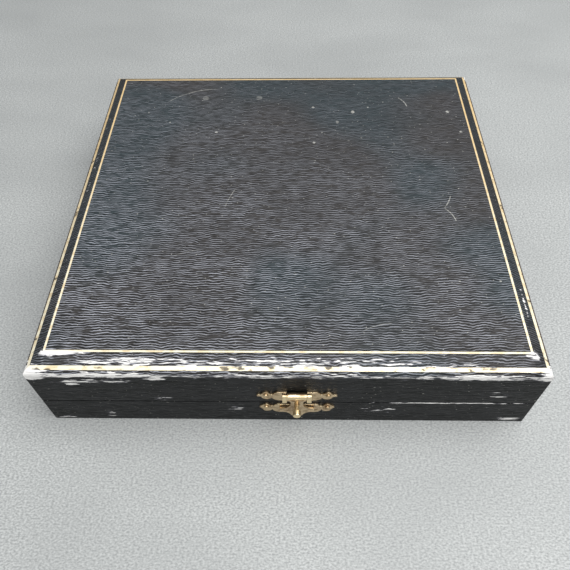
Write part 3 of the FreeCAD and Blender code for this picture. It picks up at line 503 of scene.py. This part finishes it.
def table_top():
    """A laminate table top: pale grey, with a 1 mm speckle and faint brushed clouds from side to side."""
    tree = blank("table_top")
    place = add(tree, "TexCoord", out="Object")
    speckle = mottle(tree, place, (0.0012, 0.0008, 0.001), detail=6.0)
    cloud = mottle(tree, place, (0.11, 0.06, 0.05), detail=6.0, distortion=0.3, seed=3.0)
    grit = add(tree, "MapRange", (speckle, 0.34, 0.66))
    colour = add(tree, "Mix", {0: grit, 6: linear("#8a8c8b"), 7: linear("#b9bbb9")}, **BLEND)
    smear = add(tree, "MapRange", (cloud, 0.36, 0.7, 0.0, 0.4))
    colour = add(tree, "Mix", {0: smear, 6: colour, 7: linear("#8b8d8c")}, **BLEND)
    bump = add(tree, "Bump", {"Height": speckle, "Distance": 0.15 * MM})
    coat(tree, {"Base Color": colour, "Roughness": 0.55, "Normal": bump})


# --- shapes ---


def square_path(count):
    """Points round the square from -1 to 1, anticlockwise, with its corners among them.

    Each coordinate is the same ramp: it holds at -1 for a side, climbs for a side, holds at 1 and falls.
    count is a multiple of 8.
    """
    along = np.arange(count) * 8 / count
    ramp = lambda p: np.clip(2 - np.abs(p % 8 - 4), -1, 1)
    return ramp(along), ramp(along - 2)


def woven_mesh(name, points, loop=False, shut=False):
    """A mesh through a grid of points (rows, places round, xyz), closed round each row.

    loop joins the last row to the first, and shut closes each end with a fan about the row's mean.
    """
    rows, count = points.shape[:2]
    index = np.arange(rows * count).reshape(rows, count)
    onward = np.roll(index, -1, axis=1)
    if loop:
        low, low_on, high, high_on = index, onward, np.roll(index, -1, axis=0), np.roll(onward, -1, axis=0)
    else:
        low, low_on, high, high_on = index[:-1], onward[:-1], index[1:], onward[1:]
    faces = np.stack([low, high, high_on, low_on], axis=-1).reshape(-1, 4).tolist()
    vertices = points.reshape(-1, 3)
    if shut:
        ends = points[[0, -1]].mean(axis=1)
        vertices = np.concatenate([vertices, ends])
        first = np.stack([index[0], onward[0], np.full(count, rows * count)], axis=-1)
        last = np.stack([onward[-1], index[-1], np.full(count, rows * count + 1)], axis=-1)
        faces += first.tolist() + last.tolist()
    mesh = bpy.data.meshes.new(name)
    mesh.from_pydata(vertices.tolist(), [], faces)
    work = bmesh.new()
    work.from_mesh(mesh)
    bmesh.ops.recalc_face_normals(work, faces=work.faces)
    work.to_mesh(mesh)
    work.free()
    mesh.polygons.foreach_set("use_smooth", np.ones(len(mesh.polygons), dtype=bool))
    piece = bpy.data.objects.new(name, mesh)
    bpy.context.scene.collection.objects.link(piece)
    return piece


def signed_power(values, power):
    """The size of a value to a power, with the value's own sign."""
    return np.sign(values) * np.abs(values) ** power


def block_pad(name, low, high, inset, flat_top, rows=48, count=192):
    """A pad in a box: square rings scaled by a superellipse's radius, at its heights.

    The radius is the cosine to a power and the height the sine to a power. The glued side takes a
    small power, which keeps it flat. Corners are drawn in by a few percent.
    """
    px, py = square_path(count)
    turn = np.linspace(np.pi / 2, -np.pi / 2, rows + 2)[1:-1, None]
    radius = np.cos(turn) ** 0.42
    sine = np.sin(turn)
    flat = (sine > 0) == flat_top
    height = signed_power(sine, np.where(flat, 0.16, 0.45))
    drawn = 1 - 0.025 * (px * py) ** 6
    middle, half = (low + high) / 2, (high - low) / 2 - inset
    x = middle[0] + half[0] * radius * px * drawn
    y = middle[1] + half[1] * radius * py * drawn
    z = middle[2] + half[2] * height * np.ones_like(px)
    return woven_mesh(name, np.stack([x, y, z], axis=-1), shut=True)


def disc_pad(name, radius, low_z, high_z, rows=48, count=128):
    """A round pad: rings whose radius is the cosine to a power, at heights of the sine to a power."""
    round_ = np.linspace(0, 2 * np.pi, count, endpoint=False)
    turn = np.linspace(np.pi / 2, -np.pi / 2, rows + 2)[1:-1, None]
    rim = radius * np.cos(turn) ** 0.3
    sine = np.sin(turn)
    height = signed_power(sine, np.where(sine > 0, 0.45, 0.16))
    x, y = rim * np.cos(round_), rim * np.sin(round_)
    z = (low_z + high_z) / 2 + (high_z - low_z) / 2 * height * np.ones_like(round_)
    return woven_mesh(name, np.stack([x, y, z], axis=-1), shut=True)


def ring_pad(name, low, high, hole, inset, rows=48, count=192):
    """A square pad with a round hole: a rounded section swept between the hole and the square.

    The share of the way out is half plus half a cosine to a power, the height a sine to a power.
    """
    px, py = square_path(count)
    middle, half = (low + high) / 2, (high - low) / 2 - inset
    outer_x, outer_y = half[0] * px, half[1] * py
    angle = np.arctan2(outer_y, outer_x)
    inner_x, inner_y = (hole + inset[0]) * np.cos(angle), (hole + inset[0]) * np.sin(angle)
    turn = np.linspace(0, 2 * np.pi, rows, endpoint=False)[:, None]
    share = 0.5 + 0.5 * signed_power(np.cos(turn), 0.3)
    sine = np.sin(turn)
    height = signed_power(sine, np.where(sine > 0, 0.45, 0.16))
    x = middle[0] + inner_x + (outer_x - inner_x) * share
    y = middle[1] + inner_y + (outer_y - inner_y) * share
    z = middle[2] + half[2] * height * np.ones_like(px)
    return woven_mesh(name, np.stack([x, y, z], axis=-1), loop=True)


def lining_frame(name, half_x, half_y, low_z, high_z, thick, round_top, count=96):
    """A strip round the inside of the walls: one section carried round a rectangle, mitred.

    The section runs up the wall side, over a half-round free edge and down the inner side.
    """
    px, py = square_path(count)
    radius = thick / 2
    bend = np.linspace(0, np.pi, 9)
    over_in = radius - radius * np.cos(bend)
    over_z = radius * np.sin(bend)
    length = high_z - low_z - radius
    rise = np.linspace(0, length, 7)
    inwards = np.concatenate([np.zeros(6), over_in, np.full(6, thick)])
    height = np.concatenate([rise[:-1], length + over_z, rise[-2::-1]])
    z = low_z + height if round_top else high_z - height
    soft = 0.12 * MM * np.sin(np.arange(count) * 2.4) * np.sin(np.arange(count) * 0.7)
    swell = np.clip(inwards / thick, 0, 1)[:, None] * soft[None, :]
    x = (half_x - inwards[:, None] + swell) * px
    y = (half_y - inwards[:, None] + swell) * py
    grid = np.stack([x, y, np.broadcast_to(z[:, None], x.shape)], axis=-1)
    piece = woven_mesh(name, grid, loop=True)
    piece.data.set_sharp_from_angle(angle=math.radians(50))
    return piece


def channel_floor(name, low, high, inner, outer, dip, count=256):
    """A slab whose top sinks between two radii: round rings that turn square at the slab's edge.

    A ring's place is a blend of a circle and the square. The top's drop is half of one minus the cosine
    of the share of the way across the channel, times dip.
    """
    px, py = square_path(count)
    half = (high - low) / 2
    angle = np.arctan2(half[1] * py, half[0] * px)
    channel = np.linspace(inner, outer, 13)
    radius = np.concatenate([np.linspace(0.1, 0.9, 5) * inner, channel, [outer * 1.1]])
    top = radius[:, None] * np.array([np.cos(angle), np.sin(angle)])[:, None, :]
    square = np.array([half[0] * px, half[1] * py])[:, None, :]
    edge = np.repeat(square, 2, axis=1)
    plan = np.concatenate([top, edge, square * 0.5], axis=1)
    share = np.clip((radius - inner) / (outer - inner), 0, 1)
    sunk = dip * (1 - np.cos(2 * np.pi * share)) / 2
    z = np.concatenate([high[2] - sunk, [high[2], low[2], low[2]]])
    z = np.broadcast_to(z[:, None], plan.shape[1:])
    middle = (low + high) / 2
    grid = np.stack([plan[0] + middle[0], plan[1] + middle[1], z], axis=-1)
    return woven_mesh(name, grid, shut=True)


def felt_sheet(name, low, high, count=256):
    """A thin closed slab: square rings, rounded over at the cut edge, which wavers by 0.15 mm."""
    px, py = square_path(count)
    step_in = np.array([0.0, 0.5, 0.9, 0.985, 1.0, 1.0, 0.985, 0.9, 0.5, 0.0])[1:-1, None]
    rise = np.array([1, 1, 1, 1, 0.7, 0.3, 0, 0, 0, 0.0])[1:-1, None]
    waver = 1 - 0.0012 * (1 + np.sin(np.arange(count) * 1.3) * np.sin(np.arange(count) * 0.31))
    half = (high - low) / 2
    x = half[0] * step_in * px * waver
    y = half[1] * step_in * py * waver
    z = low[2] + (high[2] - low[2]) * rise * np.ones_like(px)
    return woven_mesh(name, np.stack([x, y, z], axis=-1), shut=True)


def coordinates(mesh):
    """A mesh's vertices as rows of x, y and z."""
    flat = np.empty(len(mesh.vertices) * 3, dtype=np.float32)
    mesh.vertices.foreach_get("co", flat)
    return flat.reshape(-1, 3)


def swell(piece, looks, low, high):
    """Remeshes a pad evenly and blows it up as cloth, each point moving no further than the most swell.

    The points end inside the box between low and high, so the pad stays clear of what is round it.
    """
    scene = bpy.context.scene
    piece.data.remesh_voxel_size = PAD_VOXEL
    bpy.context.view_layer.objects.active = piece
    piece.select_set(True)
    bpy.ops.object.voxel_remesh()
    piece.select_set(False)
    start = coordinates(piece.data).copy()
    cloth = piece.modifiers.new("swell", "CLOTH")
    cloth.settings.quality = 4
    cloth.settings.mass = 0.15
    cloth.settings.tension_stiffness = 12
    cloth.settings.compression_stiffness = 12
    cloth.settings.use_pressure = True
    cloth.settings.uniform_pressure_force = looks.swell_pressure
    cloth.settings.effector_weights.gravity = 0
    cloth.collision_settings.use_collision = False
    for number in range(1, SETTLE_FRAMES + 1):
        scene.frame_set(number)
    depsgraph = bpy.context.evaluated_depsgraph_get()
    swollen = piece.evaluated_get(depsgraph).to_mesh()
    moved = coordinates(swollen) - start
    piece.evaluated_get(depsgraph).to_mesh_clear()
    piece.modifiers.remove(cloth)
    scene.frame_set(1)
    far = np.linalg.norm(moved, axis=1, keepdims=True)
    start = start + moved * np.minimum(1, looks.swell_cap / np.maximum(far, 1e-9))
    start = np.clip(start, low, high)
    piece.data.vertices.foreach_set("co", start.astype(np.float32).ravel())
    piece.data.update()
    piece.data.polygons.foreach_set("use_smooth", np.ones(len(piece.data.polygons), dtype=bool))
    smooth = piece.modifiers.new("smooth", "SUBSURF")
    smooth.levels = smooth.render_levels = 1


def gather(piece, low, high):
    """Puckers a pad's cover round its sides: the face is drawn in by folds that fade inwards.

    The fold is its depth, times one plus a sine along the nearest side, halved, times a fall-off from
    that side.
    """
    points = coordinates(piece.data)
    beside = np.minimum(points[:, :2] - low[:2], high[:2] - points[:, :2])
    nearest = beside.argmin(axis=1)
    along = np.where(nearest == 0, points[:, 1], points[:, 0])
    fold = np.sin(2 * np.pi * along / GATHER_PITCH + 2 * np.sin(along / (3 * GATHER_PITCH)))
    fade = np.exp(-beside.min(axis=1) / GATHER_REACH)
    share = np.clip((high[2] - points[:, 2]) / (high[2] - low[2]), 0, 1)
    points[:, 2] += GATHER_DEPTH * (1 + fold) / 2 * fade * share
    piece.data.vertices.foreach_set("co", points.ravel())
    piece.data.update()


def corners(*nodes):
    """The lowest and highest corner of some nodes together."""
    boxes = [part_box(node) for node in nodes]
    return np.min([b[0] for b in boxes], axis=0), np.max([b[1] for b in boxes], axis=0)


def dress(piece, body, slot, *nodes):
    """Rides a new piece on its body, gives it its finish and lets it stand for CAD nodes."""
    piece.data.materials.clear()
    piece.data.materials.append(bpy.data.materials[FINISH[slot]])
    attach(piece, body)
    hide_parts(*nodes)


FINISH = {
    "leatherette": "leathercloth",
    "gilt": "gilt_foil",
    "wood": "bare_pine",
    "card": "strawboard",
    "brass": "old_brass",
    "felt": "wool_felt",
    "velvet": "silk_velvet",
    "satin": "silk_satin",
}
SIDES = ("front", "back", "left", "right")


# --- what a user can change ---


class CaseLooks(bpy.types.PropertyGroup):
    """Sizes and colours of the case's finishes."""

    grain_pitch: bpy.props.FloatProperty(
        name="Grain pitch",
        description="Between two ridges of the covering's grain",
        default=1.35 * MM,
        unit="LENGTH",
    )
    brass_colour: bpy.props.FloatVectorProperty(
        name="Brass",
        description="Colour of the clasp and hinges",
        default=linear("#cdb794")[:3],
        subtype="COLOR",
    )
    velvet_colour: bpy.props.FloatVectorProperty(
        name="Velvet",
        description="Colour of the bed and the base's lining",
        default=linear("#560f26")[:3],
        subtype="COLOR",
    )
    satin_colour: bpy.props.FloatVectorProperty(
        name="Satin",
        description="Colour of the lid's pad and lining",
        default=linear("#e4d5b2")[:3],
        subtype="COLOR",
    )
    swell_pressure: bpy.props.FloatProperty(
        name="Swell", description="Cloth pressure that fills the pads", default=4.0, min=0.0
    )
    swell_cap: bpy.props.FloatProperty(
        name="Most swell", description="How far a point of a pad may move", default=1.1 * MM, unit="LENGTH"
    )
    channel_dip: bpy.props.FloatProperty(
        name="Channel dip", description="How far the channel's floor sinks", default=0.6 * MM, unit="LENGTH"
    )


class StageLooks(bpy.types.PropertyGroup):
    """The camera and the light round the case."""

    camera_place: bpy.props.FloatVectorProperty(
        name="Camera",
        description="Where the camera stands",
        default=(0.004645, -0.238603, 0.279466),
        subtype="XYZ",
        unit="LENGTH",
    )
    camera_turn: bpy.props.FloatVectorProperty(
        name="Camera turn",
        description="How the camera is turned",
        default=tuple(math.radians(a) for a in (37.0238, 0.8218, 0.8026)),
        subtype="EULER",
        unit="ROTATION",
    )
    camera_lens: bpy.props.FloatProperty(
        name="Lens", description="Focal length in mm on a 36 mm sensor", default=36.39
    )
    sky_strength: bpy.props.FloatProperty(
        name="Room light", description="Strength of the even light all round", default=0.42
    )


# --- operators ---


class CASE_OT_finishes(bpy.types.Operator):
    """Makes the finishes and gives them to the CAD nodes by their material slots"""

    bl_idname = "case.finishes"
    bl_label = "Finish the hard parts"

    def execute(self, context):
        looks = context.scene.case_looks
        leathercloth(looks)
        gilt_foil()
        old_brass(looks)
        bare_pine()
        strawboard()
        wool_felt()
        silk_velvet(looks)
        silk_satin(looks)
        slots = {part["node"]: part["material_slot"] for part in frame["record"]["subparts"]}
        for node, piece in frame["nodes"].items():
            finish = bpy.data.materials[FINISH[slots[node]]]
            for slot in piece.material_slots:
                slot.material = finish
        return {"FINISHED"}


class CASE_OT_necklace_bed(bpy.types.Operator):
    """Makes the velvet bed: a square pad with a round hole, a disc in it, and the channel's floor"""

    bl_idname = "case.necklace_bed"
    bl_label = "Make the necklace bed"

    def execute(self, context):
        looks = context.scene.case_looks
        low, high = corners("bed_surround")
        inset = np.array([PAD_ROOM, PAD_ROOM, PAD_ROOM / 2])
        around = ring_pad("velvet_bed_surround", low, high, BED_HOLE, inset)
        swell(around, looks, low, high)
        dress(around, "base", "velvet", "bed_surround")
        low, high = corners("bed_centre")
        radius = high[0] - PAD_ROOM
        middle = disc_pad("velvet_bed_middle", radius, low[2] + PAD_ROOM / 4, high[2] - PAD_ROOM)
        swell(middle, looks, low, high)
        dress(middle, "base", "velvet", "bed_centre")
        low, high = corners("bed_board")
        disc = corners("bed_centre")[1][0]
        floor = channel_floor("velvet_bed_floor", low, high, disc, BED_HOLE, looks.channel_dip)
        dress(floor, "base", "velvet", "bed_board")
        return {"FINISHED"}


class CASE_OT_lid_pad(bpy.types.Operator):
    """Makes the satin pad in the lid"""

    bl_idname = "case.lid_pad"
    bl_label = "Make the lid's pad"

    def execute(self, context):
        looks = context.scene.case_looks
        low, high = corners("lid_pad")
        inset = np.array([PAD_ROOM, PAD_ROOM, PAD_ROOM / 2])
        piece = block_pad("satin_lid_pad", low, high, inset, flat_top=True)
        swell(piece, looks, low, high)
        gather(piece, low, high)
        dress(piece, "lid", "satin", "lid_pad")
        return {"FINISHED"}


class CASE_OT_linings(bpy.types.Operator):
    """Makes the two linings, one round each half, with a rounded free edge"""

    bl_idname = "case.linings"
    bl_label = "Make the linings"

    def execute(self, context):
        for half, slot, round_top in (("base", "velvet", True), ("lid", "satin", False)):
            nodes = [f"{half}_lining_{side}" for side in SIDES]
            low, high = corners(*nodes)
            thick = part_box(nodes[2])[1][0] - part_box(nodes[2])[0][0]
            piece = lining_frame(f"{slot}_lining", high[0], high[1], low[2], high[2], thick, round_top)
            dress(piece, half, slot, *nodes)
        return {"FINISHED"}


class CASE_OT_underside(bpy.types.Operator):
    """Makes the felt under the case"""

    bl_idname = "case.underside"
    bl_label = "Make the underside felt"

    def execute(self, context):
        low, high = corners("underside_felt")
        piece = felt_sheet("felt_underside", low, high)
        dress(piece, "base", "felt", "underside_felt")
        return {"FINISHED"}


def soft_light(name, place, size, energy, colour):
    """A square area light that faces the case."""
    light = bpy.data.lights.new(name, "AREA")
    light.shape = "SQUARE"
    light.size = size
    light.energy = energy
    light.color = colour
    lamp = bpy.data.objects.new(name, light)
    lamp.location = place
    aim = np.array(place) - np.array((0, 0, 0.02))
    lamp.rotation_euler = (math.atan2(np.hypot(aim[0], aim[1]), aim[2]), 0, math.atan2(aim[0], -aim[1]))
    bpy.context.scene.collection.objects.link(lamp)


class CASE_OT_stage(bpy.types.Operator):
    """Makes the pale table top, the soft light and the camera"""

    bl_idname = "case.stage"
    bl_label = "Set the stage"

    def execute(self, context):
        scene = context.scene
        looks = scene.case_stage
        mesh = bpy.data.meshes.new("table_top")
        rim = [(TABLE_HALF * x, TABLE_HALF * y, 0) for x, y in ((-1, -1), (1, -1), (1, 1), (-1, 1))]
        mesh.from_pydata(rim, [], [(0, 1, 2, 3)])
        table_top()
        mesh.materials.append(bpy.data.materials["table_top"])
        table = bpy.data.objects.new("table_top", mesh)
        scene.collection.objects.link(table)
        world = bpy.data.worlds.new("room")
        world.use_nodes = True
        sky = world.node_tree.nodes["Background"]
        sky.inputs["Color"].default_value = linear("#eef1f4")
        sky.inputs["Strength"].default_value = looks.sky_strength
        scene.world = world
        soft_light("ceiling_light", (0.5, -0.25, 1.3), 1.5, 29.0, (0.985, 0.99, 1.0))
        soft_light("front_light", (0.2, -1.0, 1.1), 0.8, 5.5, (1.0, 0.99, 0.975))
        lens = bpy.data.cameras.new("camera")
        lens.sensor_width = 36
        lens.lens = looks.camera_lens
        lens.clip_start = 0.01
        camera = bpy.data.objects.new("camera", lens)
        camera.location = looks.camera_place
        camera.rotation_euler = looks.camera_turn
        scene.collection.objects.link(camera)
        scene.camera = camera
        scene.view_settings.view_transform = "Standard"
        return {"FINISHED"}


class CASE_PT_panel(bpy.types.Panel):
    """Lists the case's sizes, colours and steps"""

    bl_idname = "CASE_PT_panel"
    bl_label = "Jewellery Case"
    bl_space_type = "VIEW_3D"
    bl_region_type = "UI"
    bl_category = "Jewellery Case"

    def draw(self, context):
        for settings in (context.scene.case_looks, context.scene.case_stage):
            for name in settings.bl_rna.properties.keys():
                if name not in ("rna_type", "name"):
                    self.layout.prop(settings, name)
        for operator in OPERATORS:
            self.layout.operator(operator.bl_idname)


OPERATORS = (
    CASE_OT_stage,
    CASE_OT_finishes,
    CASE_OT_necklace_bed,
    CASE_OT_lid_pad,
    CASE_OT_linings,
    CASE_OT_underside,
)
CLASSES = (CaseLooks, StageLooks, *OPERATORS, CASE_PT_panel)


def register():
    for made in CLASSES:
        bpy.utils.register_class(made)
    bpy.types.Scene.case_looks = bpy.props.PointerProperty(type=CaseLooks)
    bpy.types.Scene.case_stage = bpy.props.PointerProperty(type=StageLooks)


def unregister():
    del bpy.types.Scene.case_looks
    del bpy.types.Scene.case_stage
    for made in reversed(CLASSES):
        bpy.utils.unregister_class(made)


def main():
    register()
    for operator in OPERATORS:
        group, name = operator.bl_idname.split(".")
        getattr(getattr(bpy.ops, group), name)()


if __name__ == "__main__":
    main()
